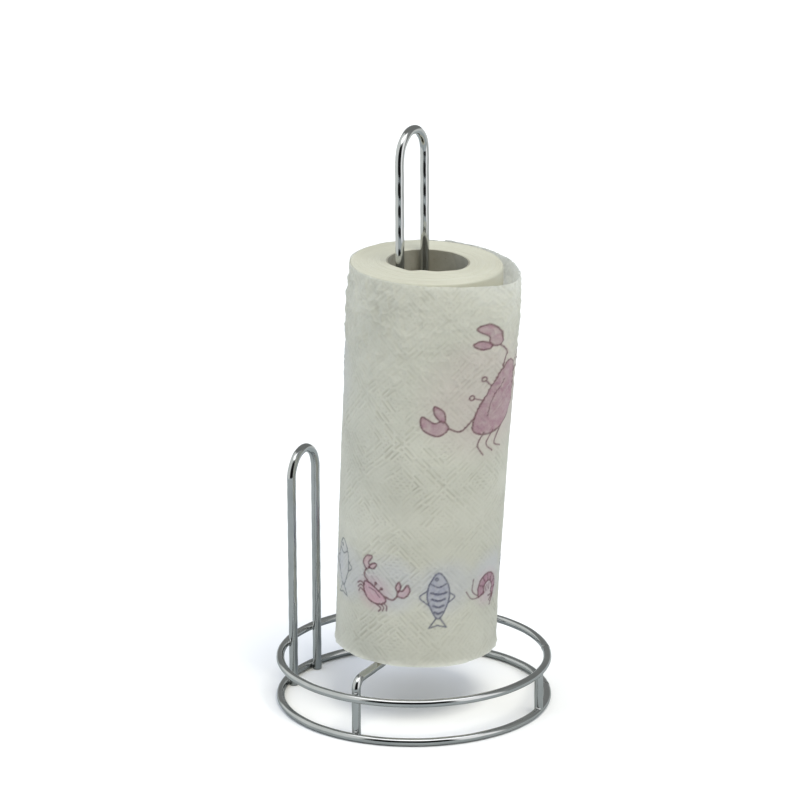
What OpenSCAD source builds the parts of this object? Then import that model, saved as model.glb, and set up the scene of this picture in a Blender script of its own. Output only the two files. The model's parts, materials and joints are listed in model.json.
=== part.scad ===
// Free-standing paper towel holder of bent and welded round wire, with a roll on it.
// The bridge wire lies along Y, the tear bar stands at -X and the spacer strut near +X.
// Origin: centre of the base rings, on the surface that the holder stands on.

/* [Base rings] */
// Diameter of both base rings, on the wire's centreline
ring_d = 149.4; // [120:0.1:200]
// Wire diameter of the base rings
ring_wire_d = 4.5; // [3:0.1:6]
// Height from the lower ring's centreline to the upper ring's
ring_rise = 22.5; // [14:0.1:40]
// Length of the upset butt weld that closes each ring
seam_len = 2.4; // [1:0.1:5]
// How far a butt weld stands proud of its ring, in diameter
seam_bulge = 0.5; // [0.2:0.1:1]

/* [Bridge wire] */
// Wire diameter of the bridge wire, tear bar and strut
wire_d = 5; // [3.5:0.1:6]
// Overall height of the holder
total_h = 329.6; // [260:0.1:380]
// Distance between the centre post's two legs, centre to centre
post_gap = 30.2; // [24:0.1:34]
// Height of the arms' centreline above the upper ring's centreline
arm_rise = 8.9; // [7:0.1:20]
// Centreline radius of the bends between arms, legs and posts
bend_r = 6; // [4:0.1:7]

/* [Tear bar] */
// Distance between the tear bar's legs, centre to centre
bar_gap = 28.4; // [20:0.1:44]
// Overall height of the tear bar
bar_h = 138.8; // [90:0.1:200]

/* [Strut] */
// Direction of the strut from the centre, counted from +X
strut_az = 4.5; // [-30:0.5:60]

/* [Roll] */
// Height of the paper roll
roll_h = 220; // [180:1:250]
// Outer diameter of the wound paper
paper_d = 89.2; // [60:0.1:120]
// Inner diameter of the cardboard core
core_d = 44; // [40:0.1:50]
// Thickness of each of the core's two plies
ply_t = 0.45; // [0.3:0.05:0.8]
// Where the roll's foot stands off the centre, across the bridge
roll_shift_x = 1.8; // [0:0.1:3]
// Where the roll's foot stands off the centre, along the bridge
roll_shift_y = -1.2; // [-3:0.1:3]

/* [Loose sheet] */
// Thickness of the loose outer sheet, with its embossing
sheet_t = 0.6; // [0.3:0.1:1]
// Height above the roll's foot at which the sheet starts to stand off
sheet_from = 48; // [20:1:120]
// How far the sheet stands off at the roll's top
sheet_flare = 5.6; // [2:0.1:14]
// Direction in which the sheet stands off, counted from +X
sheet_az = 5; // [-60:1:60]
// Half the angle round the roll over which the sheet stands off
sheet_half = 84; // [40:1:86]

/* [Hidden] */
$fn = 64;

// Clearances and seats
weld_sink = 0.3;     // how far two wires are pressed into each other where they are welded
seat_gap = 0.3;      // between the roll and the wires that it rests on
ply_gap = 0.02;      // glue line between the core's plies
turn_gap = 0.05;     // running clearance between the paper and its core
end_chamfer = 0.4;   // broken edge on each cut wire end

// Base
ring_r = ring_d / 2;
lower_z = ring_wire_d / 2;
upper_z = lower_z + ring_rise;
seam_az = strut_az + 30;
seam_angle = seam_len / ring_r * 180 / PI;

// Wires that stand inside the rings, welded to the rings' inner sides
wire_r = wire_d / 2;
leg_r = ring_r - ring_wire_d / 2 - wire_r + weld_sink;

// Bridge wire
arm_z = upper_z + arm_rise;
post_half = post_gap / 2;
arch_z = total_h - wire_r - post_half;

// Tear bar, whose legs also stand against the rings' inner sides
bar_half = bar_gap / 2;
bar_x = -sqrt(pow(leg_r, 2) - pow(bar_half, 2));
bar_arch_z = bar_h - wire_r - bar_half;
bar_leg_angle = asin(bar_half / leg_r);

// Weld nuggets
nugget_r = 1.9;
nugget_len = 2.4;
nugget_r_at = leg_r + wire_r - weld_sink / 2;
collar_r = wire_r + 0.3;
collar_h = 0.9;
collar_toe = 0.1;

// Roll: it leans across the bridge until its core meets the centre post
core_r = core_d / 2;
core_out_r = core_r + 2 * ply_t + ply_gap;
paper_bore_r = core_out_r + turn_gap;
paper_r = paper_d / 2;
lean_reach = sqrt(pow(core_r - wire_r - seat_gap, 2) - pow(post_half + abs(roll_shift_y), 2));
roll_lean = asin((lean_reach - roll_shift_x) / roll_h);
roll_z = arm_z + (wire_r + seat_gap) / cos(roll_lean) - roll_shift_x * tan(roll_lean);

// Loose sheet: a tube that is tilted off the roll and kept only where it stands off
sheet_r = paper_r + seat_gap;
sheet_tilt = atan(sheet_flare / (roll_h - sheet_from));

// A wire end cut square, with its edge broken
module cut_end(d) {
  cylinder(h = end_chamfer, d1 = d - 2 * end_chamfer, d2 = d);
}

// A straight wire from a cut end at the foot up to height h
module upright(d, h) {
  cut_end(d);
  translate([0, 0, end_chamfer]) cylinder(h = h - end_chamfer, d = d);
}

// A ring of wire that is open by its butt weld
module ring_wire() {
  rotate([0, 0, seam_az + seam_angle / 2])
    rotate_extrude(angle = 360 - seam_angle)
      translate([ring_r, 0]) circle(d = ring_wire_d);
}

// The upset metal that closes a ring at height z, ground level with the foot
module ring_seam(z) {
  seam_d = ring_wire_d + seam_bulge;
  rotate([0, 0, seam_az - seam_angle / 2]) translate([0, 0, z])
    rotate_extrude(angle = seam_angle)
      intersection() {
        translate([ring_r, 0]) circle(d = seam_d);
        translate([ring_r - seam_d, -ring_wire_d / 2]) square([2 * seam_d, 2 * seam_d]);
      }
}

// A bend in the YZ plane about [y, z], from angle a0 (counted from +Y towards +Z)
module bend(y, z, r, a0, sweep) {
  translate([0, y, z]) rotate([90, 0, 90]) rotate([0, 0, a0])
    rotate_extrude(angle = sweep)
      translate([r, 0]) circle(d = wire_d);
}

// Half of the bridge wire on the +Y side: end post, bend, arm, bend and centre leg
module bridge_half() {
  translate([0, leg_r, 0]) upright(wire_d, arm_z - bend_r);
  bend(leg_r - bend_r, arm_z - bend_r, bend_r, 0, 90);
  translate([0, post_half + bend_r, arm_z]) rotate([-90, 0, 0])
    cylinder(h = leg_r - post_half - 2 * bend_r, d = wire_d);
  bend(post_half + bend_r, arm_z + bend_r, bend_r, 180, 90);
  translate([0, post_half, arm_z + bend_r])
    cylinder(h = arch_z - arm_z - bend_r, d = wire_d);
}

// A weld nugget between an upright at angle az and a ring at height z
module nugget(az, z) {
  rotate([0, 0, az]) translate([nugget_r_at, 0, z]) rotate([0, 90, 0])
    cylinder(h = nugget_len, r = nugget_r, center = true);
}

// Everything that leans with the roll
module on_roll() {
  translate([roll_shift_x, roll_shift_y, roll_z]) rotate([0, roll_lean, 0]) children();
}

module tube(h, r_in, r_out) {
  difference() {
    cylinder(h = h, r = r_out);
    translate([0, 0, -1]) cylinder(h = h + 2, r = r_in);
  }
}

module lower_ring() {
  color("silver") translate([0, 0, lower_z]) ring_wire();
}

module upper_ring() {
  color("silver") translate([0, 0, upper_z]) ring_wire();
}

module ring_seam_welds() {
  color("gainsboro") for (z = [lower_z, upper_z]) ring_seam(z);
}

// One wire: foot, front post, arm, centre post over its arch, arm, back post, foot
module bridge_wire() {
  color("silver") union() {
    for (side = [0, 1]) mirror([0, side, 0]) bridge_half();
    bend(0, arch_z, post_half, 0, 180);
  }
}

module bridge_wire_welds() {
  color("gainsboro") for (az = [-90, 90], z = [lower_z, upper_z]) nugget(az, z);
}

// One wire: foot, leg, arch, leg, foot
module tear_bar() {
  color("silver") translate([bar_x, 0, 0]) union() {
    for (side = [-1, 1]) translate([0, side * bar_half, 0]) upright(wire_d, bar_arch_z);
    bend(0, bar_arch_z, bar_half, 0, 180);
  }
}

module tear_bar_welds() {
  color("gainsboro") for (side = [-1, 1], z = [lower_z, upper_z])
    nugget(180 + side * bar_leg_angle, z);
}

// A short pin between the rings, pressed into both where it is welded
module spacer_strut() {
  strut_h = ring_rise - ring_wire_d + 2 * weld_sink;
  color("silver") rotate([0, 0, strut_az])
    translate([ring_r, 0, lower_z + ring_wire_d / 2 - weld_sink])
      cylinder(h = strut_h, d = wire_d);
}

module spacer_strut_welds() {
  color("gainsboro") rotate([0, 0, strut_az]) translate([ring_r, 0, 0]) {
    translate([0, 0, lower_z + ring_wire_d / 2 - weld_sink])
      cylinder(h = collar_h, r1 = collar_r, r2 = wire_r + collar_toe);
    translate([0, 0, upper_z - ring_wire_d / 2 + weld_sink - collar_h])
      cylinder(h = collar_h, r1 = wire_r + collar_toe, r2 = collar_r);
  }
}

module core_inner_ply() {
  color("tan") on_roll() tube(roll_h, core_r, core_r + ply_t);
}

module core_outer_ply() {
  color("tan") on_roll() tube(roll_h, core_r + ply_t + ply_gap, core_out_r);
}

module wound_paper() {
  color("ivory") on_roll() tube(roll_h, paper_bore_r, paper_r);
}

module loose_sheet() {
  reach = paper_r * 3;
  color("ivory") on_roll() rotate([0, 0, sheet_az]) intersection() {
    translate([0, 0, sheet_from]) rotate([0, sheet_tilt, 0]) translate([0, 0, -reach])
      tube(reach + roll_h * 2, sheet_r, sheet_r + sheet_t);
    linear_extrude(height = roll_h)
      polygon([
        [0, 0],
        [reach * cos(sheet_half), -reach * sin(sheet_half)],
        [reach * 2, 0],
        [reach * cos(sheet_half), reach * sin(sheet_half)]
      ]);
    translate([0, -reach, sheet_from]) cube([reach * 2, reach * 2, roll_h]);
  }
}

lower_ring();
upper_ring();
ring_seam_welds();
bridge_wire();
bridge_wire_welds();
tear_bar();
tear_bar_welds();
spacer_strut();
spacer_strut_welds();
core_inner_ply();
core_outer_ply();
wound_paper();
loose_sheet();
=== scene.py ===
import json
import math

import bpy
import numpy as np
from mathutils import Matrix, Vector


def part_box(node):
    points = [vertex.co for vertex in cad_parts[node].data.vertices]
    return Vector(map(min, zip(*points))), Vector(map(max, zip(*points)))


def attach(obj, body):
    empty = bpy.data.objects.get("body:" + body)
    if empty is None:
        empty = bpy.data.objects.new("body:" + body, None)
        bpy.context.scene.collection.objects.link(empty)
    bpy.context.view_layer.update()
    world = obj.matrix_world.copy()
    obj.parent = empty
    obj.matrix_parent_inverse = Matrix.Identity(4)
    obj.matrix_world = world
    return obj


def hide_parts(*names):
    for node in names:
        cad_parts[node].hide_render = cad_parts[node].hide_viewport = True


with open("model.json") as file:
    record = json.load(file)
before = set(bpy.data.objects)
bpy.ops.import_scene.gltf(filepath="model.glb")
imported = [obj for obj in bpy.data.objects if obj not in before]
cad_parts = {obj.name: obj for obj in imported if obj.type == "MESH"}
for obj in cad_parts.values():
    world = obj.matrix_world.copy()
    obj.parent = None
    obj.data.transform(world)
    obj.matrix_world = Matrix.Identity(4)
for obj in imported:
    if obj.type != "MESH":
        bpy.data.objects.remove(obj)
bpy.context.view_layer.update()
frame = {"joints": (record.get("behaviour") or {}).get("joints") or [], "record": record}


# ---- The view ----------------------------------------------------------------
# A long lens stands well back from the table, a little above the holder, and looks past the
# front post with the tear bar on its left. Everything is in metres, in the frame of the CAD.
view_turn = math.radians(26.7)
view_back = 2.340
view_height = 0.9171
view_down = math.radians(17.61)
view_aside = math.radians(-0.174)
view_roll = math.radians(-0.257)

ahead = Vector((math.sin(view_aside) * math.cos(view_down),
                math.cos(view_aside) * math.cos(view_down),
                -math.sin(view_down)))
level_right = Vector((math.cos(view_aside), -math.sin(view_aside), 0))
level_up = level_right.cross(ahead)
right = level_right * math.cos(view_roll) + level_up * math.sin(view_roll)
up = level_up * math.cos(view_roll) - level_right * math.sin(view_roll)
lens_data = bpy.data.cameras.new("view")
lens_data.lens = 201.04
lens_data.sensor_width = 36
view = bpy.data.objects.new("view", lens_data)
aim = Matrix((right, up, -ahead)).transposed().to_4x4()
view.matrix_world = (Matrix.Rotation(view_turn, 4, "Z")
                     @ Matrix.Translation((0, -view_back, view_height)) @ aim)
bpy.context.scene.collection.objects.link(view)
bpy.context.scene.camera = view


# ---- Lower and upper base rings ----------------------------------------------
# Two equal rings of 4.5 mm drawn steel wire, bent round and closed by an upset butt weld, then
# nickel-chrome plated with the rest of the frame. The straightener's rollers leave faint waves.
MM = 0.001


def value_noise(x, y, cell, seed):
    """Smooth noise from 0 to 1 over x and y, with a new value every cell."""
    knots = np.random.default_rng(seed).random((64, 64))
    gx, gy = np.asarray(x) / cell, np.asarray(y) / cell
    ix, iy = np.floor(gx).astype(int), np.floor(gy).astype(int)
    fx, fy = gx - ix, gy - iy
    fx, fy = fx * fx * (3 - 2 * fx), fy * fy * (3 - 2 * fy)

    def at(i, j):
        return knots[(ix + i) % 64, (iy + j) % 64]

    low = at(0, 0) * (1 - fx) + at(1, 0) * fx
    high = at(0, 1) * (1 - fx) + at(1, 1) * fx
    return low * (1 - fy) + high * fy


def round_angles(count):
    """Angles evenly round a full turn, without the last, which is the first again."""
    return np.linspace(0, 2 * math.pi, count, endpoint=False)


def signed(angle):
    """The same angle from minus half a turn to half a turn."""
    return (angle + math.pi) % (2 * math.pi) - math.pi


def new_piece(name, points, faces, material, smooth=True):
    """A mesh object of points (metres) and faces, with one material."""
    mesh = bpy.data.meshes.new(name)
    mesh.from_pydata([tuple(p) for p in points], [], [tuple(f) for f in faces])
    mesh.update()
    mesh.materials.append(material)
    mesh.shade_smooth() if smooth else mesh.shade_flat()
    piece = bpy.data.objects.new(name, mesh)
    bpy.context.scene.collection.objects.link(piece)
    return piece


def grid_faces(rows, columns, wrap_rows=False, wrap_columns=False):
    """Quads of a grid whose point (row, column) is number row * columns + column."""
    r = np.arange(rows if wrap_rows else rows - 1)
    c = np.arange(columns if wrap_columns else columns - 1)
    r, c = np.meshgrid(r, c, indexing="ij")
    r1, c1 = (r + 1) % rows, (c + 1) % columns
    quads = np.stack([r * columns + c, r * columns + c1, r1 * columns + c1, r1 * columns + c], -1)
    return quads.reshape(-1, 4)


def set_uv(piece, uv):
    """Writes one UV per point."""
    mesh = piece.data
    layer = mesh.uv_layers.new(name="UVMap")
    corners = np.zeros(len(mesh.loops), np.int32)
    mesh.loops.foreach_get("vertex_index", corners)
    layer.data.foreach_set("uv", np.asarray(uv, np.float32)[corners].reshape(-1))


WIRE_SIDES = 40
roller_pitch = 11.7 * MM   # between the waves that the straightener leaves
roller_depth = 0.06 * MM


def wire_piece(name, line, radius, material, closed=False, up_hint=(0, 0, 1)):
    """A round wire along line, with broken edges on its cut ends unless it is closed."""
    line = np.asarray(line, float)
    if closed:
        ahead_of = np.roll(line, -1, 0) - np.roll(line, 1, 0)
    else:
        ahead_of = np.gradient(line, axis=0)
    ahead_of /= np.linalg.norm(ahead_of, axis=1)[:, None]
    steps = np.linalg.norm(np.diff(line, axis=0), axis=1)
    along = np.concatenate([[0], np.cumsum(steps)])
    side = np.cross(ahead_of, up_hint)
    side /= np.linalg.norm(side, axis=1)[:, None]
    upward = np.cross(side, ahead_of)
    a = round_angles(WIRE_SIDES)
    around, far = np.meshgrid(a, along)
    turn = 2 * math.pi * far / roller_pitch
    wave = 0.75 * np.cos(around - turn) + 0.25 * np.cos(2 * around - 0.61 * turn)
    if closed:
        laps = along[-1] + steps[0]
        wave = np.cos(around - 2 * math.pi * far / laps * round(laps / roller_pitch / 2)) * 0.5
    size = radius + roller_depth * (wave - 1)
    rings = (line[:, None] + side[:, None] * (size * np.cos(around))[..., None]
             + upward[:, None] * (size * np.sin(around))[..., None])
    # a UV of 1 is one centimetre along the wire and once round it
    uv = np.stack([far * 100, around / (2 * math.pi)], -1)
    if closed:
        points = rings.reshape(-1, 3)
        faces = grid_faces(len(line), WIRE_SIDES, True, True)
        piece = new_piece(name, points, faces, material)
        set_uv(piece, uv.reshape(-1, 2))
        return piece
    edge = 0.35 * MM

    def end_rings(ring, centre, outward):
        """A broken edge and a flat cut end, from the wire's last ring inwards."""
        spread = ring - centre
        return [centre + spread * (1 - edge / radius * k) + outward * edge * s
                for k, s in ((0.0, -1.0), (0.25, -0.35), (0.6, -0.06), (1.0, 0.0), (2.2, 0.0))]

    first = end_rings(rings[0], line[0], -ahead_of[0])
    last = end_rings(rings[-1], line[-1], ahead_of[-1])
    stack = np.concatenate([first[::-1], rings[1:-1], last])
    rim = len(first)
    uv_rows = np.concatenate([np.repeat(uv[:1], rim, 0), uv[1:-1], np.repeat(uv[-1:], rim, 0)])
    points = np.concatenate([stack.reshape(-1, 3), [line[0]], [line[-1]]])
    faces = [tuple(f) for f in grid_faces(len(stack), WIRE_SIDES, False, True)]
    low, high, top = len(points) - 2, len(points) - 1, (len(stack) - 1) * WIRE_SIDES
    for i in range(WIRE_SIDES):
        j = (i + 1) % WIRE_SIDES
        faces += [(low, j, i), (high, top + i, top + j)]
    piece = new_piece(name, points, faces, material)
    set_uv(piece, np.concatenate([uv_rows.reshape(-1, 2), [[0, 0], [0, 0]]]))
    return piece


def node_adder(tree):
    """A short way to add a node to tree, with its inputs linked or set and its settings."""
    def add(kind, inputs=None, **settings):
        node = tree.nodes.new("ShaderNode" + kind)
        for key, value in settings.items():
            setattr(node, key, value)
        for key, value in (inputs or {}).items():
            if isinstance(value, bpy.types.NodeSocket):
                tree.links.new(value, node.inputs[key])
            else:
                node.inputs[key].default_value = value
        return node

    return add


def nodes_of(name):
    """A new node material, its node tree, its Principled shader and its way to add nodes."""
    material = bpy.data.materials.new(name)
    material.use_nodes = True
    tree = material.node_tree
    return material, tree, tree.nodes["Principled BSDF"], node_adder(tree)


def ramp(add, factor, stops):
    """A colour ramp over factor; stops are (place, colour) pairs."""
    node = add("ValToRGB", {"Fac": factor})
    band = node.color_ramp
    while len(band.elements) < len(stops):
        band.elements.new(0.5)
    for element, (place, colour) in zip(band.elements, stops):
        element.position = place
        element.color = (*colour, 1) if len(colour) == 3 else colour
    return node.outputs["Color"]


def chrome_plate(name, dull=0.0):
    """Bright nickel-chrome plate over drawn wire: draw lines along it, faint haze and pits."""
    material, tree, shader, add = nodes_of(name)
    place = add("TexCoord").outputs["Object"]
    drawn = add("TexCoord").outputs["UV"]
    lines = add("Mapping", {"Vector": drawn, "Scale": (0.35, 90.0, 1.0)})
    streak = add("TexNoise", {"Vector": lines.outputs["Vector"], "Scale": 1.0, "Detail": 3.0})
    haze = add("TexNoise", {"Vector": place, "Scale": 38.0, "Detail": 5.0, "Roughness": 0.6})
    pits = add("TexNoise", {"Vector": place, "Scale": 1400.0, "Detail": 2.0})
    peel = add("TexNoise", {"Vector": place, "Scale": 420.0, "Detail": 2.0})
    tone = ramp(add, haze.outputs["Fac"], [
        (0.30, (0.47, 0.485, 0.485)), (0.55, (0.56, 0.57, 0.57)), (0.80, (0.61, 0.615, 0.61))])
    tree.links.new(tone, shader.inputs["Base Color"])
    mixed = add("Math", {0: haze.outputs["Fac"], 1: streak.outputs["Fac"]}, operation="MULTIPLY")
    rough = add("MapRange", {"Value": mixed.outputs[0], "From Min": 0.1, "From Max": 0.45,
                             "To Min": 0.05 + dull, "To Max": 0.12 + dull})
    tree.links.new(rough.outputs["Result"], shader.inputs["Roughness"])
    first = add("Bump", {"Height": peel.outputs["Fac"], "Strength": 0.10, "Distance": 0.00006})
    second = add("Bump", {"Height": streak.outputs["Fac"], "Strength": 0.12, "Distance": 0.00004,
                          "Normal": first.outputs["Normal"]})
    third = add("Bump", {"Height": pits.outputs["Fac"], "Strength": 0.08 + dull,
                         "Distance": 0.00003, "Normal": second.outputs["Normal"]})
    tree.links.new(third.outputs["Normal"], shader.inputs["Normal"])
    shader.inputs["Metallic"].default_value = 1.0
    return material


plate = chrome_plate("chrome_plate")
lower_low, lower_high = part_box("lower_ring")
upper_low, upper_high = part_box("upper_ring")
ring_wire_r = (lower_high.z - lower_low.z) / 2
ring_r = (lower_high.y - lower_low.y) / 2 - ring_wire_r
ring_heights = {"lower": (lower_low.z + lower_high.z) / 2, "upper": (upper_low.z + upper_high.z) / 2}


def ring_line(height, steps=480):
    """The centreline of a base ring."""
    a = round_angles(steps)
    return np.stack([ring_r * np.cos(a), ring_r * np.sin(a), np.full_like(a, height)], -1)


for level, height in ring_heights.items():
    ring = wire_piece(f"{level}_base_ring", ring_line(height), ring_wire_r, plate, closed=True)
    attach(ring, "holder")
    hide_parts(f"{level}_ring")


# ---- Ring seams --------------------------------------------------------------
# Where a ring's two ends were pressed together and fused, the hot metal was upset into a low
# bead. It is dressed flush under the foot and plated over, so it only shows as a thin step.
seam_metal = chrome_plate("plated_weld", dull=0.10)
seam_low, seam_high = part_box("ring_seam_welds")
seam_direction = math.atan2((seam_low.y + seam_high.y) / 2, (seam_low.x + seam_high.x) / 2)
seam_half_length = 1.2 * MM
seam_rise = 0.13 * MM


def seam_sleeve(height, dressed, seed):
    """A raised, slightly uneven sleeve round the ring's wire at its butt weld."""
    s = np.linspace(-1, 1, 25)
    a = round_angles(WIRE_SIDES)
    around, across = np.meshgrid(a, s)
    crown = np.sqrt(np.clip(1 - across ** 2, 0, 1))
    lumps = 0.75 + 0.5 * value_noise(around * 3, across * 2 + 9, 1.0, seed)
    groove = 0.55 * np.exp(-(across / 0.16) ** 2)
    size = ring_wire_r - 0.03 * MM + seam_rise * np.clip(crown * lumps - groove, 0, 1)
    low = size * np.sin(around)
    low = np.maximum(low, -ring_wire_r + 0.01 * MM) if dressed else low
    bearing = seam_direction + across * seam_half_length / ring_r
    far = ring_r + size * np.cos(around)
    points = np.stack([far * np.cos(bearing), far * np.sin(bearing), height + low], -1)
    return points.reshape(-1, 3), grid_faces(len(s), WIRE_SIDES, False, True)


def join_parts(parts):
    """Several (points, faces) as one."""
    points, faces, start = [], [], 0
    for p, f in parts:
        points.append(np.asarray(p, float))
        faces += [tuple(np.asarray(q) + start) for q in f]
        start += len(p)
    return np.concatenate(points), faces


seams = new_piece("ring_seams", *join_parts(
    [seam_sleeve(h, level == "lower", len(level)) for level, h in ring_heights.items()]), seam_metal)
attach(seams, "holder")
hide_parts("ring_seam_welds")


# ---- Bridge wire -------------------------------------------------------------
# One 5 mm wire that is foot, front post, arm, looped centre post, arm, back post and foot in
# turn, bent cold in a jig. The roll stands on its two arms.
bridge_low, bridge_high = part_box("bridge_wire")
wire_r = (bridge_high.x - bridge_low.x) / 2
leg_r = bridge_high.y - wire_r
post_top = bridge_high.z - wire_r
seat = next(m for m in frame["record"]["mounts"] if m["name"] == "roll_seat")
arm_height = seat["pos_m"][2] - wire_r
post_half = 15.1 * MM
bend_r = 6.0 * MM
step = 1.2 * MM


def straight(start, end):
    """Points from start up to but not at end, a step apart."""
    start, end = np.asarray(start, float), np.asarray(end, float)
    count = max(2, round(np.linalg.norm(end - start) / step))
    return start + (end - start) * np.linspace(0, 1, count, endpoint=False)[:, None]


def bend(x, centre_y, centre_z, radius, from_angle, to_angle):
    """Points of a bend in the plane at x, from one angle up to but not at the other."""
    count = max(10, round(abs(to_angle - from_angle) / math.radians(5)))
    a = np.linspace(from_angle, to_angle, count, endpoint=False)
    y, z = centre_y + radius * np.cos(a), centre_z + radius * np.sin(a)
    return np.stack([np.full_like(a, x), y, z], -1)


def bridge_line():
    """The bridge wire's centreline, from the front foot (-Y) over the centre post to the back foot."""
    turn = math.pi / 2
    low_z, high_z = arm_height - bend_r, arm_height + bend_r
    arch_z = post_top - post_half
    outer_y, inner_y = leg_r - bend_r, post_half + bend_r
    front = np.concatenate([
        straight((0, -leg_r, 0), (0, -leg_r, low_z)),
        bend(0, -outer_y, low_z, bend_r, 2 * turn, turn),
        straight((0, -outer_y, arm_height), (0, -inner_y, arm_height)),
        bend(0, -inner_y, high_z, bend_r, -turn, 0),
        straight((0, -post_half, high_z), (0, -post_half, arch_z)),
        bend(0, 0, arch_z, post_half, 2 * turn, turn),
    ])
    top = np.array([[0, 0, post_top]])
    return np.concatenate([front, top, front[::-1] * (1, -1, 1)])


bridge = wire_piece("bridge_wire_bent", bridge_line(), wire_r, plate, up_hint=(1, 0, 0))
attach(bridge, "holder")
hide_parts("bridge_wire")


# ---- Bridge wire welds -------------------------------------------------------
# Each post is resistance-welded to the inside of both rings. The electrodes press the wires into
# each other, and a small fillet of metal is squeezed into the crease round the contact.
fillet_blend = 0.8 * MM
fillet_reach = 3.0 * MM
fillet_sink = 0.11 * MM
weld_depth = 0.15 * MM      # from an upright's skin in to the middle of its contact with a ring


def to_ring(p, height):
    """Distance from points to the surface of the base ring at height."""
    out = np.hypot(p[..., 0], p[..., 1]) - ring_r
    return np.hypot(out, p[..., 2] - height) - ring_wire_r


def to_upright(p, x, y, low=0.0, high=1.0):
    """Distance from points to the surface of an upright wire between two heights."""
    beyond = np.maximum(np.maximum(low - p[..., 2], p[..., 2] - high), 0)
    return np.hypot(np.hypot(p[..., 0] - x, p[..., 1] - y), beyond) - wire_r


def fillet(contact, one, other, seed):
    """The fillet in the crease between two wires; it dips under their skins away from it."""
    contact = np.asarray(contact, float)
    rows, columns = 36, 56
    t, a = np.meshgrid(np.linspace(0.02, math.pi - 0.02, rows), round_angles(columns), indexing="ij")
    rays = np.stack([np.sin(t) * np.cos(a), np.sin(t) * np.sin(a), np.cos(t)], -1)
    uneven = 0.8 + 0.5 * value_noise(a * 2.2 + seed, t * 3, 1.0, seed)
    near, far = np.zeros_like(t), np.full_like(t, fillet_reach)
    for _ in range(26):
        middle = (near + far) / 2
        p = contact + rays * middle[..., None]
        d1, d2, k = one(p), other(p), fillet_blend * uneven
        h = np.clip(0.5 + 0.5 * (d2 - d1) / k, 0, 1)
        depth = d2 * (1 - h) + d1 * h - k * h * (1 - h) + fillet_sink
        inside = depth < 0
        near, far = np.where(inside, middle, near), np.where(inside, far, middle)
    points = (contact + rays * near[..., None]).reshape(-1, 3)
    points[:, 2] = np.maximum(points[:, 2], 0.02 * MM)
    faces = [tuple(f) for f in grid_faces(rows, columns, False, True)]
    faces.append(tuple(range(columns))[::-1])
    faces.append(tuple((rows - 1) * columns + i for i in range(columns)))
    return points, [f[::-1] for f in faces]


def post_fillets(bearings, seed):
    """Fillets between uprights on the given bearings and both rings."""
    parts = []
    for i, bearing in enumerate(bearings):
        x, y = leg_r * math.cos(bearing), leg_r * math.sin(bearing)
        touch = leg_r + wire_r - weld_depth
        for j, height in enumerate(ring_heights.values()):
            contact = (touch * math.cos(bearing), touch * math.sin(bearing), height)
            parts.append(fillet(contact, lambda p, h=height: to_ring(p, h),
                                lambda p, x=x, y=y: to_upright(p, x, y), seed + 2 * i + j))
    return join_parts(parts)


bridge_welds = new_piece("bridge_wire_fillets", *post_fillets(
    (-math.pi / 2, math.pi / 2), 3), seam_metal)
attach(bridge_welds, "holder")
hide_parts("bridge_wire_welds")


# ---- Tear bar ----------------------------------------------------------------
# An upright loop of the same 5 mm wire. It holds the roll back while a sheet is torn off. Its two
# cut ends stand level with the lower ring's foot.
bar_low, bar_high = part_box("tear_bar")
bar_x = (bar_low.x + bar_high.x) / 2
bar_half = (bar_high.y - bar_low.y) / 2 - wire_r
bar_arch = bar_high.z - wire_r - bar_half
bar_leg = straight((bar_x, -bar_half, 0), (bar_x, -bar_half, bar_arch))
bar_line = np.concatenate([
    bar_leg,
    bend(bar_x, 0, bar_arch, bar_half, math.pi, 0),
    [[bar_x, bar_half, bar_arch]],
    bar_leg[::-1] * (1, -1, 1),
])
tear_bar = wire_piece("tear_bar_loop", bar_line, wire_r, plate, up_hint=(1, 0, 0))
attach(tear_bar, "holder")
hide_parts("tear_bar")


# ---- Tear bar welds ----------------------------------------------------------
# The loop's legs are resistance-welded to the inside of both rings, as the posts are, and a small
# fillet of the wires' own steel is squeezed into the crease round each contact.
bar_bearing = math.asin(bar_half / leg_r)
bar_welds = new_piece("tear_bar_fillets", *post_fillets(
    (math.pi - bar_bearing, math.pi + bar_bearing), 11), seam_metal)
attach(bar_welds, "holder")
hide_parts("tear_bar_welds")


# ---- Spacer strut ------------------------------------------------------------
# A short pin of the 5 mm wire that stands between the two rings, straight under the upper one,
# where neither post nor tear bar holds them apart.
strut_low, strut_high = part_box("spacer_strut")
strut_x, strut_y = (strut_low.x + strut_high.x) / 2, (strut_low.y + strut_high.y) / 2
strut_line = np.concatenate([
    straight((strut_x, strut_y, strut_low.z), (strut_x, strut_y, strut_high.z)),
    [[strut_x, strut_y, strut_high.z]],
])
strut = wire_piece("strut_pin", strut_line, wire_r, plate, up_hint=(1, 0, 0))
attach(strut, "holder")
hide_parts("spacer_strut")


# ---- Spacer strut welds ------------------------------------------------------
# The pin's ends are butt-fused to the rings. The heat and the pressure leave a thin collar of the
# wires' own steel round each end.
pin_weld_depth = 0.1 * MM   # from the pin's end in to the middle of its weld
strut_parts = []
for i, (height, end, toward) in enumerate((
        (ring_heights["lower"], strut_low.z, 1), (ring_heights["upper"], strut_high.z, -1))):
    middle = (strut_low.z + strut_high.z) / 2
    strut_parts.append(fillet(
        (strut_x, strut_y, end + toward * pin_weld_depth),
        lambda p, h=height: to_ring(p, h),
        lambda p, a=min(end, middle), b=max(end, middle): to_upright(p, strut_x, strut_y, a, b),
        21 + i))
strut_welds = new_piece("strut_fillets", *join_parts(strut_parts), seam_metal)
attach(strut_welds, "holder")
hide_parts("spacer_strut_welds")


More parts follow.
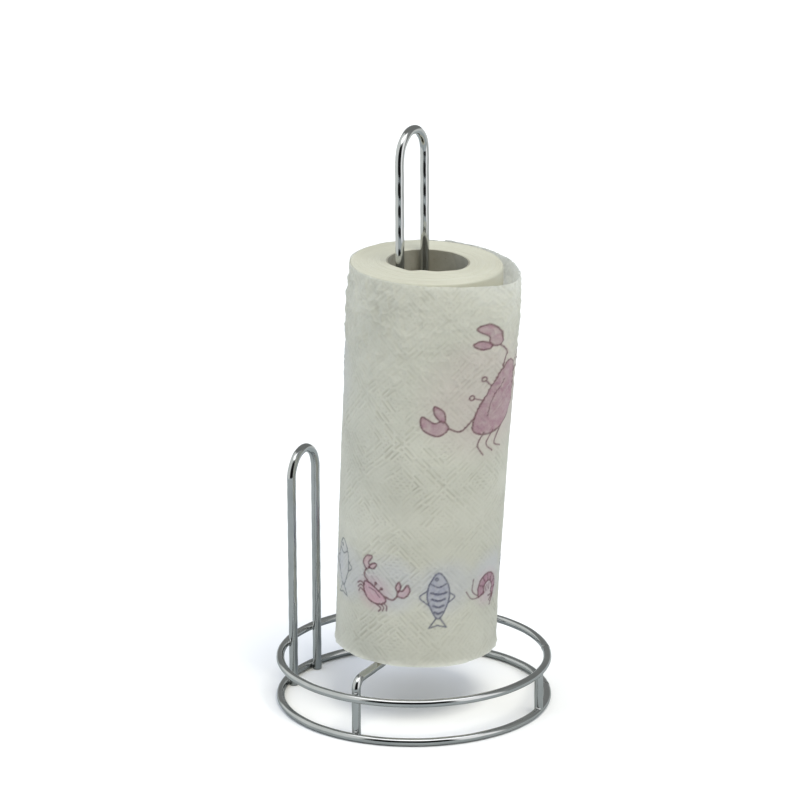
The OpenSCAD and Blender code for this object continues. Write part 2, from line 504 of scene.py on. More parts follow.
# ---- Cardboard core ----------------------------------------------------------
# Two plies of grey board, wound on a slant and glued into a tube. The inner ply's edges leave an
# open spiral seam inside, and the cut ends are a little furred. It leans with the roll.
turn_joint = next(j for j in frame["joints"] if j["name"] == "paper_turn")
lean_axis = Vector(turn_joint["axis"]).normalized()
lean = math.atan2(lean_axis.x, lean_axis.z)
roll_place = Matrix.Translation(turn_joint["pos_m"]) @ Matrix.Rotation(lean, 4, "Y")
inner_low, inner_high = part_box("core_inner_ply")
outer_low, outer_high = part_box("core_outer_ply")
ply_out_r = (inner_high.y - inner_low.y) / 2
core_out_r = (outer_high.y - outer_low.y) / 2
ply_thick = (core_out_r - ply_out_r) * 0.96
core_in_r = ply_out_r - ply_thick
paper_low, paper_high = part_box("wound_paper")
paper_r = (paper_high.y - paper_low.y) / 2
crushed = 1.2 * MM      # how much the roll has lost from its height by standing and handling
roll_height = ((paper_high.z - paper_low.z) - 2 * paper_r * math.sin(lean)) / math.cos(lean) - crushed


def grey_board(name):
    """Recycled core board: grey-brown felt of short fibres with darker flecks."""
    material, tree, shader, add = nodes_of(name)
    place = add("TexCoord").outputs["Object"]
    cloud = add("TexNoise", {"Vector": place, "Scale": 55.0, "Detail": 6.0, "Roughness": 0.65})
    stretched = add("Mapping", {"Vector": place, "Rotation": (0.0, 0.6, 0.4), "Scale": (1.0, 1.0, 3.2)})
    fibre = add("TexNoise", {"Vector": stretched.outputs["Vector"], "Scale": 750.0, "Detail": 4.0})
    fleck = add("TexVoronoi", {"Vector": place, "Scale": 420.0})
    tone = ramp(add, cloud.outputs["Fac"], [
        (0.25, (0.29, 0.27, 0.205)), (0.55, (0.385, 0.365, 0.285)), (0.8, (0.47, 0.45, 0.36))])
    flecks = ramp(add, fleck.outputs["Distance"], [(0.05, (0.55, 0.5, 0.42)), (0.16, (1, 1, 1))])
    colour = add("Mix", {"Factor": 0.55, 6: tone, 7: flecks}, data_type="RGBA", blend_type="MULTIPLY")
    tree.links.new(colour.outputs[2], shader.inputs["Base Color"])
    rough = add("MapRange", {"Value": fibre.outputs["Fac"], "To Min": 0.82, "To Max": 0.98})
    tree.links.new(rough.outputs["Result"], shader.inputs["Roughness"])
    bump = add("Bump", {"Height": fibre.outputs["Fac"], "Strength": 0.5, "Distance": 0.0001})
    tree.links.new(bump.outputs["Normal"], shader.inputs["Normal"])
    shader.inputs["Specular IOR Level"].default_value = 0.25
    return material


def ply(name, r_in, r_out, board, seam_from=None, seed=0):
    """One ply of the core as a closed tube; seam_from gives it an open spiral seam inside."""
    columns, rows = 180, 150
    around, high = np.meshgrid(round_angles(columns), np.linspace(0, roll_height, rows))
    fur = 0.18 * MM * (value_noise(around * 12, high * 0, 1.0, seed + 1) - 0.5)
    ends = np.clip(1 - np.minimum(high, roll_height - high) / (4 * MM), 0, 1)
    rough_end = np.where(high < roll_height / 2, -1, 1) * fur * ends
    inside = np.full_like(around, r_in)
    inside += 0.05 * MM * (value_noise(around * 6, high / MM * 0.2, 1.0, seed + 2) - 0.5)
    if seam_from is not None:
        wind_slant = math.radians(62)
        wind = high / (r_in * math.tan(wind_slant))
        off = signed(around - wind - seam_from)
        inside += 0.3 * MM * np.exp(-(off * r_in / (0.55 * MM)) ** 4)
    outside = np.full_like(around, r_out)
    kept_in = 0.02 * MM
    z = np.clip(high + rough_end, kept_in, roll_height - kept_in)
    shell = [np.stack([r * np.cos(around), r * np.sin(around), z], -1) for r in (inside, outside)]
    stack = np.concatenate([shell[0], shell[1][::-1]])
    faces = grid_faces(len(stack), columns, True, True)
    piece = new_piece(name, stack.reshape(-1, 3), faces[:, ::-1], board)
    piece.data.set_sharp_from_angle(angle=math.radians(50))
    piece.matrix_world = roll_place
    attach(piece, "roll_core")
    return piece


board = grey_board("grey_board")
inner_ply = ply("core_inner_board", core_in_r, ply_out_r, board, seam_from=2.4, seed=5)
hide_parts("core_inner_ply")
outer_ply = ply("core_outer_board", ply_out_r + 0.02 * MM, core_out_r, board, seed=8)
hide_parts("core_outer_ply")


# ---- Wound paper -------------------------------------------------------------
# Two-ply tissue wound turn upon turn on the core. Its ends show the turns as one long spiral, some
# of them standing a little proud, and the outer edges are rounded over from handling.
layer_pitch = 0.62 * MM             # between the ridges of the spiral
paper_bore_r = core_out_r + 0.05 * MM
front_right = math.radians(-2)      # the side where the outer turns have sprung loose most
toward_front = math.radians(-63)    # the side where the winding's end is coned up
under_sheet = 0.9 * MM              # how far the winding stays inside the roll's own radius
narrows, narrows_more = 1.9, 0.75   # at its top, all round and to the right, in millimetres


def winding_radius(high, bearing):
    """Radius of the winding: its outer turns are loose, so it narrows towards the top."""
    up_it = np.clip((high - 0.3 * roll_height) / (0.7 * roll_height), 0, 1)
    inward = narrows + narrows_more * np.cos(bearing - view_turn)
    return paper_r - under_sheet - up_it * inward * MM


def tissue_base(name, ends=False):
    """Off-white tissue with faint fibre clouding and crepe lines; on its cut ends the colour is made
    darker, as painted shade of their layered edges.
    """
    material, tree, shader, add = nodes_of(name)
    place = add("TexCoord").outputs["Object"]
    cloud = add("TexNoise", {"Vector": place, "Scale": 26.0, "Detail": 6.0, "Roughness": 0.6})
    fibre = add("TexNoise", {"Vector": place, "Scale": 1500.0, "Detail": 5.0, "Roughness": 0.7})
    crepe_map = add("Mapping", {"Vector": place, "Scale": (0.25, 0.25, 1.0)})
    crepe = add("TexNoise", {"Vector": crepe_map.outputs["Vector"], "Scale": 1700.0, "Detail": 2.0})
    light, dark = (0.725, 0.72, 0.63), (0.61, 0.61, 0.525)
    # the cut ends are painted darker: painted shade between the layered edges of the wound turns
    if ends:
        light, dark = (0.60, 0.585, 0.472), (0.53, 0.511, 0.40)
    tone = ramp(add, cloud.outputs["Fac"], [(0.3, dark), (0.7, light)])
    rough = add("MapRange", {"Value": fibre.outputs["Fac"], "To Min": 0.86, "To Max": 1.0})
    tree.links.new(rough.outputs["Result"], shader.inputs["Roughness"])
    shader.inputs["Specular IOR Level"].default_value = 0.12
    shader.inputs["Sheen Weight"].default_value = 0.12
    shader.inputs["Sheen Roughness"].default_value = 0.5
    first = add("Bump", {"Height": fibre.outputs["Fac"], "Strength": 0.35, "Distance": 0.00012})
    second = add("Bump", {"Height": crepe.outputs["Fac"], "Strength": 0.25, "Distance": 0.00015,
                          "Normal": first.outputs["Normal"]})
    tree.links.new(second.outputs["Normal"], shader.inputs["Normal"])
    return material, tree, shader, add, tone


def end_relief(r, a, seed):
    """How far the wound edges stand proud or sunk at radius r and angle a."""
    turn = (r - paper_bore_r) / layer_pitch - a / (2 * math.pi)
    index = np.floor(turn)
    part = turn - index
    rng = np.random.default_rng(seed).random(256)
    step_up = rng[index.astype(int) % 256] - 0.5
    next_up = rng[(index.astype(int) + 1) % 256] - 0.5
    smooth = part ** 4
    ridge = 0.14 * np.sin(math.pi * part) ** 0.6
    slow = value_noise(r / MM * 0.30 + 7, np.cos(a) * 3 + 9, 1.0, seed + 3) - 0.5
    wave = value_noise(np.sin(a) * 3 + 9, np.cos(a) * 3 + 9, 1.0, seed + 4) - 0.5
    stepped = step_up * (1 - smooth) + next_up * smooth
    return (0.3 * stepped + ridge + 0.6 * slow + 0.5 * wave - 0.5) * MM


def wound_roll():
    """The winding as one closed solid with layered ends; its top is coned up at the front."""
    a = round_angles(300)
    edge = 1.2 * MM
    share = np.linspace(0, 1, 190)
    front = np.clip(0.5 + 0.5 * np.cos(a - toward_front), 0, 1) ** 2
    rows = []

    def end_rows(height, outward, seed, cone):
        rim = winding_radius(height, a) - edge
        for t in share:
            r = paper_bore_r + (rim - paper_bore_r) * t
            proud = end_relief(r, a, seed) + cone * front * (1 - t) ** 0.8
            yield r, height + outward * proud

    def edge_rows(height, outward):
        for t in np.linspace(0, math.pi / 2, 8)[1:]:
            r = winding_radius(height, a) - edge * (1 - math.sin(t))
            yield r, np.full_like(a, height - outward * (0.3 * MM + 1.5 * edge * (1 - math.cos(t))))

    rows += list(end_rows(0, -1, 31, 0))[::-1]
    for z in np.linspace(0.01, 0.99, 12) * roll_height:
        rows.append((np.full_like(a, paper_bore_r), np.full_like(a, z)))
    rows += list(end_rows(roll_height, 1, 57, 1.9 * MM))
    rows += list(edge_rows(roll_height, 1))
    for z in np.linspace(0.97, 0.03, 60) * roll_height:
        rows.append((winding_radius(z, a), np.full_like(a, z)))
    rows += list(edge_rows(0, -1))[::-1]
    r, z = np.array([row[0] for row in rows]), np.array([row[1] for row in rows])
    points = np.stack([r * np.cos(a), r * np.sin(a), z], -1)
    return points.reshape(-1, 3), grid_faces(len(rows), len(a), True, True)[:, ::-1]


edge_stuff, tree, shader, add, tone = tissue_base("tissue_edges", ends=True)
place = add("TexCoord").outputs["Object"]
apart = add("SeparateXYZ", {"Vector": place})
squared = [add("Math", {0: apart.outputs[i], 1: apart.outputs[i]}, operation="MULTIPLY") for i in (0, 1)]
radius = add("Math", {0: add("Math", {0: squared[0].outputs[0], 1: squared[1].outputs[0]},
                             operation="ADD").outputs[0]}, operation="SQRT")
# darker rings by radius on the winding's ends: painted shade between the wound turns
lines = add("TexNoise", {"W": radius.outputs[0], "Scale": 2600.0, "Detail": 3.0}, noise_dimensions="1D")
shade = ramp(add, lines.outputs["Fac"], [(0.3, (0.86, 0.85, 0.81)), (0.6, (1, 1, 1))])
colour = add("Mix", {"Factor": 0.8, 6: tone, 7: shade}, data_type="RGBA", blend_type="MULTIPLY")
tree.links.new(colour.outputs[2], shader.inputs["Base Color"])
winding = new_piece("paper_winding", *wound_roll(), edge_stuff)
winding.matrix_world = roll_place
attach(winding, "paper")
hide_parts("wound_paper")


# ---- Outer sheet -------------------------------------------------------------
# The last turn of tissue: two plies embossed with nested diamonds and printed with sea animals.
# It lies on the winding at the foot and has sprung about 1 cm off it at the top right, where its
# upper part is crumpled. Its free, perforated edge is at the back.
sheet_thick = 0.3 * MM
sheet_r = paper_r + 0.2 * MM        # of the sheet where it lies on the winding
sheet_overlap = 17 * MM
sheet_length = 2 * math.pi * sheet_r + sheet_overlap
free_edge_at = math.radians(118)
inner_end_at = free_edge_at - sheet_length / sheet_r
facing = math.radians(-63.3)        # the side of the roll that the printing's places are counted from
cell = 0.5 * MM
sheet_rows = int(roll_height / cell) + 1
sheet_columns = int(sheet_length / cell) + 1
along, high = np.meshgrid(np.linspace(0, sheet_length, sheet_columns),
                          np.linspace(0, roll_height, sheet_rows), indexing="ij")
bearing = inner_end_at + along / sheet_r
# across is the distance round the roll from the side it faces, in millimetres
across = signed(bearing - facing) * paper_r / MM
rise = high / MM

diamond = 47.5          # height and width of one embossed diamond, in millimetres
diamond_from = (-12.0, 10.0)
groove_pitch = 2.35


def emboss(x, y):
    """Depth of the embossing from 0 to 1: nested diamonds of grooves and dots, dashes in the middle."""
    x, y = x - diamond_from[0], y - diamond_from[1]
    p, q = (x + y) / diamond, (x - y) / diamond
    p, q = p - np.round(p), q - np.round(q)
    scale = diamond / math.sqrt(2)
    far = np.maximum(np.abs(p), np.abs(q)) * scale
    run = np.where(np.abs(p) > np.abs(q), q, p) * scale
    depth = np.zeros_like(far)
    for i in range(6):
        at = 4.9 + i * groove_pitch
        line = np.exp(-((far - at) / 0.5) ** 2)
        if i in (0, 3):
            dots = np.clip(np.cos(2 * math.pi * run / 2.2) * 1.6 - 0.2, 0, 1)
            depth = np.maximum(depth, 0.9 * line * dots)
        else:
            gap = np.abs((run + i * 2.1) % 8.5 - 4.25)
            depth = np.maximum(depth, line * np.clip((gap - 0.5) / 0.5, 0, 1))
    cx, cy = (p + q) * diamond / 2, (p - q) * diamond / 2
    row = np.round(cy / 1.9)
    dash = np.exp(-((cy - row * 1.9) / 0.5) ** 2)
    dash *= np.clip(np.cos(2 * math.pi * (cx / 3.8 + row * 0.5)) * 1.5 + 0.3, 0, 1)
    return np.maximum(depth, 0.95 * dash * (far < 3.8))


def vary(x, y, cell, low, high, seed):
    """Noise over x and y, stretched and cut to run from low to high."""
    spread = np.clip(value_noise(x + 400, y, cell, seed) * 1.6 - 0.3, 0, 1)
    return low + (high - low) * spread


drift = vary(across, rise, 9.0, -0.35, 0.35, 78)
press = emboss(across + drift, rise - drift) * vary(across, rise, 5.5, 0.45, 1.0, 79)
press *= vary(across, rise, 17.0, 0.45, 1.0, 80)
off_spring = signed(bearing - front_right)
spring_width = np.where(off_spring < 0, math.radians(26), math.radians(41))
sprung = np.exp(-(off_spring / spring_width) ** 2)
sprung_from, sprung_by = 25 * MM, 10 * MM
loose = sprung_by * np.clip((high - sprung_from) / (roll_height - sprung_from), 0, 1) ** 1.15
shoulder_from, shoulder_by = 200 * MM, 1.75 * MM
shoulder = shoulder_by * np.clip((high - shoulder_from) / (roll_height - shoulder_from), 0, 1) ** 1.6
crumpled = np.clip((rise - 135) / 50, 0, 1) * (0.45 + 0.55 * value_noise(across + 400, rise, 34.0, 70))
lumps = value_noise(across + 400, rise, 3.4, 71) + 0.6 * value_noise(across + 400, rise, 1.7, 75) - 0.8
creases = 1 - np.abs(2 * value_noise(across + 0.4 * rise + 400, rise, 6.0, 74) - 1)
slow = value_noise(across + 400, rise * 0.6, 23.0, 72) - 0.5
tuck = 0.8 * sheet_thick * np.clip(along / sheet_length * 3 - 1, -1, 1)
free_edge = sheet_length - along
lift = 1.4 * MM * np.exp(-(free_edge / (11 * MM)) ** 2) * (0.5 + 0.5 * high / roll_height)
lip = 0.8 * MM * np.exp(-high / (1.4 * MM)) * (0.2 + value_noise(across + 400, rise, 4.6, 76))
radius = sheet_r + loose * sprung - shoulder * (1 - 0.5 * sprung) + lift + tuck * 0.5 + lip
radius += (0.8 * slow * np.clip(rise / 30, 0, 1) + (0.25 + 1.3 * crumpled) * lumps) * MM
radius += 0.8 * MM * crumpled * (creases ** 4 - 0.2)
radius += 0.8 * MM * np.clip((rise - 40) / 130, 0, 1) * (np.cos(bearing - view_turn) - 0.3)
radius -= 0.64 * MM * press * (1 - 0.75 * crumpled) * np.clip(0.45 + rise / 60, 0, 1)
inside = winding_radius(high, bearing) + 0.12 * MM + np.clip(tuck, 0, 1)
radius = np.maximum(radius, inside)
# where it has sprung off it goes a longer way round, so its free edge stops short
slack = np.cumsum(loose * sprung, 0) * (sheet_length / (sheet_columns - 1)) / paper_r
turned = bearing - slack / paper_r
tooth_pitch, tooth_depth = 3.2, 0.35 * MM
cut = np.abs((rise / tooth_pitch) % 1 - 0.5) * 2 > 0.35
teeth = tooth_depth * cut * (free_edge < cell * 1.5)
turned = turned - teeth / paper_r

# the sheet has slipped a little down the winding, but stays clear of the arms as it turns over them
slipped = 0.25 * MM
front_drop = (0.5 + 1.1 * np.exp(-((off_spring + 0.35) / 0.95) ** 2)) * MM
ragged = 0.5 * MM * (value_noise(across + 400, rise * 0, 11.0, 73) - 0.5)
z = high - slipped * (1 - high / roll_height) - (front_drop + ragged) * (high / roll_height) ** 3
sheet_points = np.stack([radius * np.cos(turned), radius * np.sin(turned), z], -1).reshape(-1, 3)


# The printing: a band of small animals near the foot and two large ones above, in soft one-colour
# inks with watery halos. Every animal is drawn here from its own few curves.
ink = np.zeros((*across.shape, 3))
cover = np.zeros(across.shape)


def lay_ink(strength, colour):
    """Adds ink of that strength (0 to 1 at each point) over what is printed already."""
    global ink, cover
    total = strength + cover * (1 - strength)
    share = np.where(total > 1e-6, strength / np.maximum(total, 1e-6), 0)[..., None]
    ink = ink * (1 - share) + np.asarray(colour) * share
    cover = total


def smooth_curve(points, closed=False, steps=8):
    """A curve through points, rounded between them."""
    p = np.asarray(points, float)
    if closed:
        p = np.concatenate([p[-1:], p, p[:2]])
    else:
        p = np.concatenate([2 * p[:1] - p[1:2], p, 2 * p[-1:] - p[-2:-1]])
    t = np.linspace(0, 1, steps, endpoint=False)[:, None]
    out = []
    for a, b, c, d in zip(p[:-3], p[1:-2], p[2:-1], p[3:]):
        out.append(0.5 * (2 * b + (c - a) * t + (2 * a - 5 * b + 4 * c - d) * t ** 2
                          + (3 * b - a - 3 * c + d) * t ** 3))
    line = np.concatenate(out)
    return line if closed else np.concatenate([line, p[-2:-1]])


def points_round(line, reach):
    """Where the sheet's points lie in the box round a line, reach wider all round."""
    low, top = line.min(0) - reach, line.max(0) + reach
    return (across > low[0]) & (across < top[0]) & (rise > low[1]) & (rise < top[1])


def draw(line, colour, width=0.9, closed=False):
    """A drawn ink line, with a slightly broken, thirsty edge."""
    line = np.asarray(line, float)
    where = points_round(line, width + 1)
    q = np.stack([across[where], rise[where]], -1)
    distance = np.full(len(q), 1e9)
    ends = np.roll(line, -1, 0) if closed else line[1:]
    for a, b in zip(line if closed else line[:-1], ends):
        d = b - a
        t = np.clip(((q - a) @ d) / max(d @ d, 1e-9), 0, 1)
        distance = np.minimum(distance, np.linalg.norm(q - a - t[:, None] * d, axis=1))
    strength = np.zeros_like(cover)
    dry = value_noise(across[where] * 3, rise[where] * 3, 1.0, 91)
    strength[where] = np.clip((width / 2 + 0.28 - distance) / 0.5, 0, 1) * (0.78 + 0.22 * dry)
    lay_ink(strength, colour)


def fill(line, colour, strength=0.6):
    """Fills a closed outline with thin ink that pools in places."""
    line = np.asarray(line, float)
    where = points_round(line, 1)
    x, y = across[where], rise[where]
    inside = np.zeros(x.shape, bool)
    for (x0, y0), (x1, y1) in zip(line, np.roll(line, -1, 0)):
        if y0 != y1:
            inside ^= ((y0 > y) != (y1 > y)) & (x < (x1 - x0) * (y - y0) / (y1 - y0) + x0)
    layer = np.zeros_like(cover)
    pool = 0.6 + 0.6 * value_noise(x, y * 1.3, 2.6, 93)
    layer[where] = inside * np.clip(strength * pool, 0, 1)
    lay_ink(layer, colour)


def halo(x, y, wide, tall, colour, strength):
    """A watery wash round a print."""
    d = np.hypot((across - x) / wide, (rise - y) / tall)
    ragged = 0.75 + 0.5 * value_noise(across + 300, rise, 9.0, 95)
    lay_ink(strength * np.clip((1 - d) * 2.2, 0, 1) * ragged, colour)


def spot(x, y, size, turn):
    """What puts an animal's points in their place: scaled, turned (degrees) and moved to x and y."""
    c, s = math.cos(math.radians(turn)), math.sin(math.radians(turn))

    def put(points):
        p = np.asarray(points, float) * size
        return np.stack([x + c * p[:, 0] - s * p[:, 1], y + s * p[:, 0] + c * p[:, 1]], -1)

    return put


WINE = (0.11, 0.012, 0.04)
MAUVE = (0.36, 0.13, 0.235)
PINK = (0.60, 0.28, 0.40)
SLATE = (0.06, 0.065, 0.14)
VIOLET = (0.30, 0.31, 0.47)
LILAC = (0.56, 0.58, 0.68)
GREY_INK = (0.10, 0.115, 0.13)


def ellipse(x, y, a, b, start=0, end=360, count=28):
    """Points of an ellipse, or part of one."""
    t = np.radians(np.linspace(start, end, count, endpoint=end - start < 360))
    return np.stack([x + a * np.cos(t), y + b * np.sin(t)], -1)


def crab(put, line_ink, body_ink, width, strength, reach=1.0):
    """A crab seen from above: flat shell, two arms with pincers, stalked eyes and side legs."""
    shoulder = np.array([0.72, 0.42])
    shell = smooth_curve([(-1.0, 0.2), (-0.66, 0.42), (0, 0.46), (0.66, 0.42), (1.0, 0.2),
                          (0.74, -0.3), (0, -0.58), (-0.74, -0.3)], closed=True)
    fill(put(shell), body_ink, strength)
    draw(put(shell), line_ink, width, closed=True)
    draw(put(smooth_curve([(-0.5, 0.14), (0, 0.26), (0.5, 0.14)])), line_ink, width * 0.6)
    for side in (-1, 1):
        def flip(points):
            return put(np.asarray(points, float) * (side, 1))

        def arm(points):
            return flip(shoulder + (np.asarray(points, float) - shoulder) * reach)

        draw(arm(smooth_curve([shoulder, (1.3, 0.6), (1.42, 1.05)])), line_ink, width * 1.1)
        pincer = smooth_curve([(1.42, 1.05), (1.86, 1.25), (1.9, 1.85),
                               (1.52, 2.1), (1.5, 1.6), (1.28, 1.4)], closed=True)
        thumb = smooth_curve([(1.3, 1.3), (0.98, 1.5), (0.96, 1.92), (1.24, 1.72)], closed=True)
        for part in (pincer, thumb):
            fill(arm(part), body_ink, strength)
            draw(arm(part), line_ink, width, closed=True)
        draw(flip([(0.2, 0.45), (0.26, 0.68)]), line_ink, width * 0.8)
        draw(flip(ellipse(0.27, 0.74, 0.06, 0.06)), line_ink, width, closed=True)
        for k in range(3):
            low = -0.02 - 0.2 * k
            draw(flip(smooth_curve([(0.9 - 0.16 * k, low), (1.24 - 0.12 * k, low - 0.02),
                                    (1.4 - 0.2 * k, low - 0.3)])), line_ink, width * 0.9)


def fish(put, line_ink, body_ink, width, strength, stripes):
    """A fish from the side: almond body, fan tail, fins, gill line and stripes."""
    body = smooth_curve([(1.0, 0.02), (0.55, 0.36), (0, 0.44), (-0.55, 0.24), (-0.82, 0.07),
                         (-0.82, -0.07), (-0.55, -0.24), (0, -0.42), (0.55, -0.34)], closed=True)
    fill(put(body), body_ink, strength)
    draw(put(body), line_ink, width, closed=True)
    tail = [(-0.82, 0.07), (-1.22, 0.34), (-1.12, 0), (-1.22, -0.34), (-0.82, -0.07)]
    draw(put(tail), line_ink, width)
    draw(put(smooth_curve([(0.3, 0.42), (0.02, 0.72), (-0.3, 0.38)])), line_ink, width)
    draw(put(smooth_curve([(0.18, -0.42), (-0.02, -0.64), (-0.22, -0.38)])), line_ink, width)
    draw(put(smooth_curve([(0.55, 0.3), (0.42, 0), (0.55, -0.28)])), line_ink, width)
    draw(put(ellipse(0.74, 0.09, 0.05, 0.05)), line_ink, width, closed=True)
    for k in range(stripes):
        at = 0.2 - 0.26 * k
        tall = 0.3 - 0.05 * k
        draw(put(smooth_curve([(at, tall), (at - 0.07, 0), (at, -tall)])), line_ink, width * 1.5)


def shrimp(put, line_ink, body_ink, width, strength):
    """A shrimp: a curled, banded back that ends in a fan, with feelers and short legs."""
    def back(*arc):
        return ellipse(0, 0, 0.86, 0.92, *arc)

    def belly(*arc):
        return ellipse(0.04, -0.06, 0.42, 0.46, *arc)

    body = np.concatenate([back(-60, 190, 24), belly(190, -60, 20)])
    fill(put(body), body_ink, strength)
    draw(put(body), line_ink, width, closed=True)
    for t in range(-30, 170, 34):
        draw(put([back(t, t + 1, 1)[0], belly(t, t + 1, 1)[0]]), line_ink, width * 0.8)
    tail = back(-60, -59, 1)[0]
    for spread in (-0.34, 0, 0.34):
        draw(put([tail, tail + (-0.5, -0.1 + spread)]), line_ink, width * 1.2)
    draw(put(smooth_curve([(-0.84, -0.1), (-1.2, 0.5), (-0.9, 1.2)])), line_ink, width * 0.8)
    draw(put(smooth_curve([(-0.84, -0.14), (-1.4, 0.1), (-1.6, 0.7)])), line_ink, width * 0.8)
    for k in range(4):
        draw(put([(-0.36 + 0.2 * k, 0.2 - 0.02 * k), (-0.44 + 0.18 * k, -0.2)]), line_ink, width * 0.7)


full_turn = 2 * math.pi * paper_r / MM
far_side = -full_turn / 2
band_count = 9
band_height = 40.5
band_pitch = full_turn / band_count
band_first = 11.3 - 2 * band_pitch
for i in range(band_count):
    x = (band_first + i * band_pitch - far_side) % full_turn + far_side
    kind = i % 4 if i < band_count - 1 else 2
    halo(x + 4, band_height + 6, 20, 19, LILAC, 0.38)
    if kind == 0:
        fish(spot(x - 1, band_height + 9, 14.5, 92), GREY_INK, LILAC, 0.8, 0.12, 0)
    elif kind == 1:
        halo(x - 6, band_height, 13, 12, PINK, 0.3)
        crab(spot(x - 6, band_height - 1, 8.2, -32), WINE, PINK, 0.95, 0.5)
    elif kind == 2:
        fish(spot(x, band_height, 14.5, 90), SLATE, VIOLET, 0.85, 0.55, 4)
    else:
        halo(x + 2, band_height, 13, 13, PINK, 0.25)
        shrimp(spot(x + 2, band_height, 9.5, 20), WINE, MAUVE, 0.9, 0.75)
halo(36.0, 154.0, 44, 40, PINK, 0.14)
crab(spot(43.5, 152.0, 22.5, 60), WINE, MAUVE, 0.95, 0.68, reach=0.68)
halo(far_side + 43.0, 155.0, 50, 42, LILAC, 0.32)
fish(spot(far_side + 40.0, 155.0, 29.0, 14), SLATE, VIOLET, 1.2, 0.6, 4)

sheet_stuff, tree, shader, add, tone = tissue_base("printed_tissue")
pressed = add("Attribute", attribute_name="press", attribute_type="GEOMETRY")
printed = add("Attribute", attribute_name="ink", attribute_type="GEOMETRY")
# the paper is painted darker where the embossing presses in: painted shade in the grooves
groove_shade = ramp(add, pressed.outputs["Fac"], [(0.0, (1, 1, 1)), (1.0, (0.85, 0.845, 0.82))])
paper_tone_and_groove_shade = add("Mix", {"Factor": 1.0, 6: tone, 7: groove_shade}, data_type="RGBA", blend_type="MULTIPLY")
blot = add("TexNoise", {"Vector": add("TexCoord").outputs["Object"], "Scale": 900.0, "Detail": 3.0})
thirst = add("MapRange", {"Value": blot.outputs["Fac"], "From Min": 0.3, "From Max": 0.6,
                          "To Min": 0.78, "To Max": 1.0})
amount = add("Math", {0: printed.outputs["Alpha"], 1: thirst.outputs["Result"]}, operation="MULTIPLY")
inked = add("Mix", {"Factor": amount.outputs[0], 6: paper_tone_and_groove_shade.outputs[2], 7: printed.outputs["Color"]},
            data_type="RGBA")
tree.links.new(inked.outputs[2], shader.inputs["Base Color"])
# Thin paper: part of the light goes through it, paler than the printed face.
glowing = add("Mix", {"Factor": 0.42, 6: inked.outputs[2], 7: (0.97, 0.965, 0.92, 1)}, data_type="RGBA")
through = add("BsdfTranslucent", {"Color": glowing.outputs[2]})
thin = add("MixShader", {"Fac": 0.42, 1: shader.outputs["BSDF"], 2: through.outputs["BSDF"]})
tree.links.new(thin.outputs["Shader"], tree.nodes["Material Output"].inputs["Surface"])

sheet_faces = grid_faces(sheet_columns, sheet_rows)
sheet = new_piece("outer_sheet", sheet_points, sheet_faces, sheet_stuff)
press_layer = sheet.data.attributes.new("press", "FLOAT", "POINT")
press_layer.data.foreach_set("value", press.astype(np.float32).reshape(-1))
ink_layer = sheet.data.attributes.new("ink", "FLOAT_COLOR", "POINT")
ink_and_cover = np.concatenate([ink, cover[..., None]], -1)
ink_layer.data.foreach_set("color", ink_and_cover.astype(np.float32).reshape(-1))
sheet.matrix_world = roll_place
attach(sheet, "paper")
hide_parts("loose_sheet")


# ---- Table and studio --------------------------------------------------------
# A plain pale table top under a large soft light. What the chrome mirrors is a smaller, darker table
# of its own and a grey room with a dark doorway in front, a window beside it and a lit ceiling.
def table_top(name, front, back, half_width, height, dark, light):
    """A plain, faintly mottled table top, square to the view; front and back say how far it goes."""
    stuff, tree, shader, add = nodes_of(name)
    mottle = add("TexNoise", {"Vector": add("TexCoord").outputs["Object"], "Scale": 3.0, "Detail": 4.0})
    tone = ramp(add, mottle.outputs["Fac"], [(0.3, dark), (0.7, light)])
    tree.links.new(tone, shader.inputs["Base Color"])
    shader.inputs["Roughness"].default_value = 0.9
    shader.inputs["Specular IOR Level"].default_value = 0.1
    corners = [(-half_width, -front, height), (half_width, -front, height),
               (half_width, back, height), (-half_width, back, height)]
    top = new_piece(name, corners, [(0, 1, 2, 3)], stuff, smooth=False)
    top.rotation_euler.z = view_turn
    return top


table_z = min(lower_low.z, 0) - 0.02 * MM
endless = 6.0
table = table_top("table", endless, endless, endless, table_z,
                  (0.95, 0.94, 0.915), (0.97, 0.96, 0.935))
table.visible_glossy = False
mirrored = table_top("mirrored_table", 0.96, 0.60, 0.60, table_z + 0.01 * MM,
                     (0.40, 0.425, 0.41), (0.44, 0.46, 0.445))
mirrored.visible_camera = False
mirrored.visible_diffuse = False
mirrored.visible_shadow = False
mirrored.visible_transmission = False


# even light from a wide disc overhead, a little to the front and the right
light = bpy.data.lights.new("ceiling", "SUN")
light.energy = 1.55
light.angle = math.radians(28)
light.color = (1.0, 0.98, 0.885)
lamp = bpy.data.objects.new("ceiling", light)
lamp.rotation_euler = (math.radians(25), 0, math.radians(56))
lamp.visible_glossy = False
bpy.context.scene.collection.objects.link(lamp)

room = bpy.data.worlds.new("room")
room.use_nodes = True
bpy.context.scene.world = room
room.node_tree.nodes.clear()
room_node = node_adder(room.node_tree)


def between(value, start, end):
    """0 before start and 1 after end, smooth between them."""
    return room_node("MapRange", {"Value": value, "From Min": start, "From Max": end},
                     interpolation_type="SMOOTHSTEP").outputs["Result"]


def both(one, other):
    """1 where both masks are."""
    return room_node("Math", {0: one, 1: other}, operation="MULTIPLY").outputs[0]


def seen_as(behind, mask, brightness, tint):
    """Colours the room where mask is 1."""
    colour = (*(brightness * t for t in tint), 1)
    return room_node("Mix", {"Factor": mask, 6: behind, 7: colour}, data_type="RGBA").outputs[2]


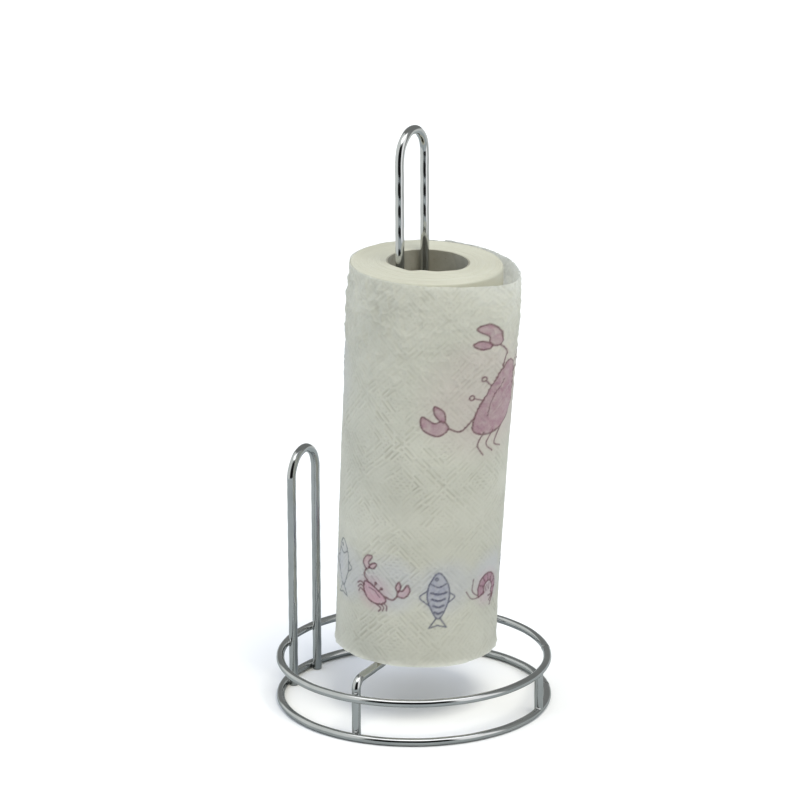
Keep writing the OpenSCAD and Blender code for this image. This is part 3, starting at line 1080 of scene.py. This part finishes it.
direction = room_node("TexCoord").outputs["Generated"]
height = room_node("SeparateXYZ", {"Vector": direction}).outputs["Z"]
level_way = room_node("VectorMath", {0: room_node("VectorMath", {0: direction, 1: (1, 1, 0)},
                                                  operation="MULTIPLY").outputs[0]},
                      operation="NORMALIZE").outputs[0]
doorway = math.radians(-65)
frontal = room_node("VectorMath", {0: level_way, 1: (math.cos(doorway), math.sin(doorway), 0)},
                    operation="DOT_PRODUCT").outputs["Value"]
sideways = room_node("VectorMath", {0: level_way, 1: (-math.sin(doorway), math.cos(doorway), 0)},
                     operation="DOT_PRODUCT").outputs["Value"]
greenish = (0.97, 1.0, 0.975)
walls = room_node("RGB")
walls.outputs[0].default_value = (0.33, 0.345, 0.335, 1)
behind_it, below = between(frontal, 0.1, -0.3), between(height, 0.03, -0.03)
window = both(between(sideways, 0.45, 0.6), between(frontal, 0.1, 0.3))
door = both(between(frontal, 0.74, 0.84), between(height, 0.80, 0.72))
overhead = both(between(height, 0.83, 0.87), between(frontal, -0.3, 0.0))
white = (1, 1, 1)
view_of_room = walls.outputs[0]
for mask, brightness, tint in (
        (between(frontal, -0.1, -0.5), 0.26, greenish), (both(behind_it, below), 0.80, greenish),
        (window, 1.3, white), (between(sideways, -0.58, -0.72), 0.92, greenish),
        (door, 0.012, white), (overhead, 2.2, white)):
    view_of_room = seen_as(view_of_room, mask, brightness, tint)
seen = room_node("Background", {"Color": view_of_room, "Strength": 1.0})
glow = room_node("RGB")
glow.outputs[0].default_value = (0.345, 0.34, 0.325, 1)
side_glow = seen_as(glow.outputs[0], between(sideways, 0.2, 0.9), 0.98, (0.90, 0.985, 1.15))
side_glow = seen_as(side_glow, between(sideways, -0.2, -0.9), 1.27, (0.90, 0.985, 1.15))
lit = room_node("Background", {"Color": side_glow, "Strength": 1.05})
ray = room_node("LightPath").outputs["Is Glossy Ray"]
whole = room_node("MixShader", {"Fac": ray, 1: lit.outputs[0], 2: seen.outputs[0]})
room_node("OutputWorld", {"Surface": whole.outputs[0]})
bpy.context.scene.view_settings.view_transform = "Standard"
